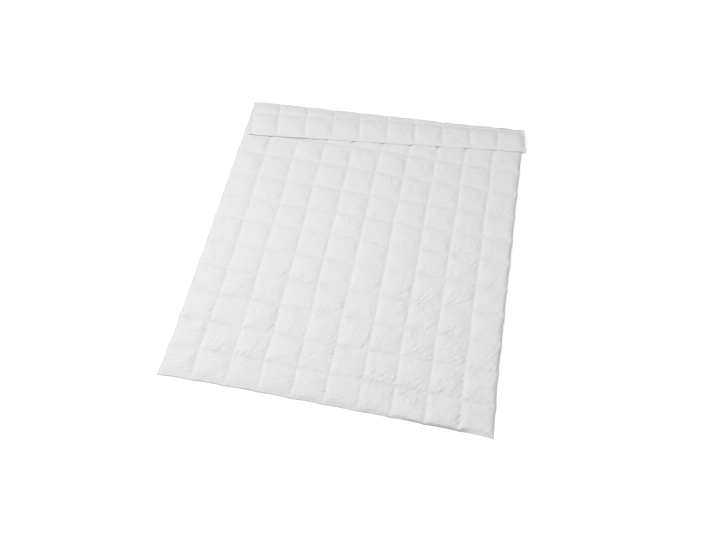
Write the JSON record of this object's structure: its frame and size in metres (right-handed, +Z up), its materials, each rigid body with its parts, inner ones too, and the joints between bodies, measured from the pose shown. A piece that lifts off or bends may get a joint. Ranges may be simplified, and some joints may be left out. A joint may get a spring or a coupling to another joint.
{
  "type": "down duvet",
  "caption": "White down duvet with box-stitched filled cells and a thin sewn hem, lying spread out with its head end turned back over the top.",
  "frame": {"origin": "middle of the bounding box's footprint, on the surface the duvet lies on", "axes": "+X across the duvet, +Y along it towards the turned-back head end, +Z up"},
  "size_m": [1.525, 1.8542, 0.0395],
  "materials": {
    "cotton_cover": "matte, close-woven white cotton"
  },
  "bodies": {
    "root": {"duvet": "cotton_cover"}
  },
  "joints": []
}
